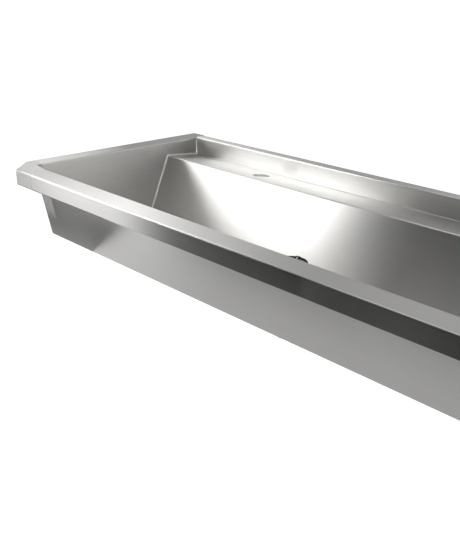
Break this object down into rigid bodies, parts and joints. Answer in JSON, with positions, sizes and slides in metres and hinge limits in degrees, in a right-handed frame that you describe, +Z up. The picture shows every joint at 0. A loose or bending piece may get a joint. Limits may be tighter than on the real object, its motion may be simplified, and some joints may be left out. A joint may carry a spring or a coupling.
{
  "type": "trough sink",
  "caption": "Long wall-hung trough sink folded from brushed steel, with a tap ledge, cut front corners, a lift-out standing overflow and wall brackets.",
  "frame": {"origin": "middle of the four wall fixing holes of the brackets, on the wall plane", "axes": "+X along the rim to the right as seen by a user facing the wall, +Y into the wall, +Z up"},
  "size_m": [1.2, 0.482, 0.23],
  "materials": {
    "brushed_sheet": "satin, brushed along each sheet",
    "plain_steel": "mill finish",
    "bright_steel": "turned and bright",
    "damping_sheet": "matt",
    "black_rubber": "matt",
    "black_plastic": "moulded, satin",
    "white_plastic": "moulded, satin",
    "brass": "plain"
  },
  "bodies": {
    "trough": {"pan": "brushed_sheet", "end_left": "brushed_sheet", "end_right": "brushed_sheet", "corner_left": "brushed_sheet", "corner_right": "brushed_sheet", "tap_plate_left": "plain_steel", "tap_plate_right": "plain_steel", "stiffener_left": "plain_steel", "stiffener_right": "plain_steel", "damping_pad_left": "damping_sheet", "damping_pad_right": "damping_sheet", "weld_nuts": "bright_steel", "bracket_left": "plain_steel", "bracket_right": "plain_steel", "bracket_strips": "black_rubber", "bracket_bolts": "bright_steel", "bracket_washers": "bright_steel", "waste_body": "bright_steel", "waste_seal_top": "black_rubber", "waste_seal_bottom": "black_rubber", "waste_washer": "white_plastic", "waste_backnut": "bright_steel", "earth_lug": "plain_steel", "earth_bolt": "bright_steel", "earth_nut": "brass", "earth_washers": "bright_steel"},
    "overflow": {"standpipe": "bright_steel", "standpipe_ring": "black_plastic", "standpipe_bung": "black_rubber", "standpipe_grip": "bright_steel"}
  },
  "joints": [
    {"name": "overflow_lift", "type": "slide", "parent": "trough", "child": "overflow", "axis": [0, 0, 1], "range_m": [0, 0.18]}
  ]
}
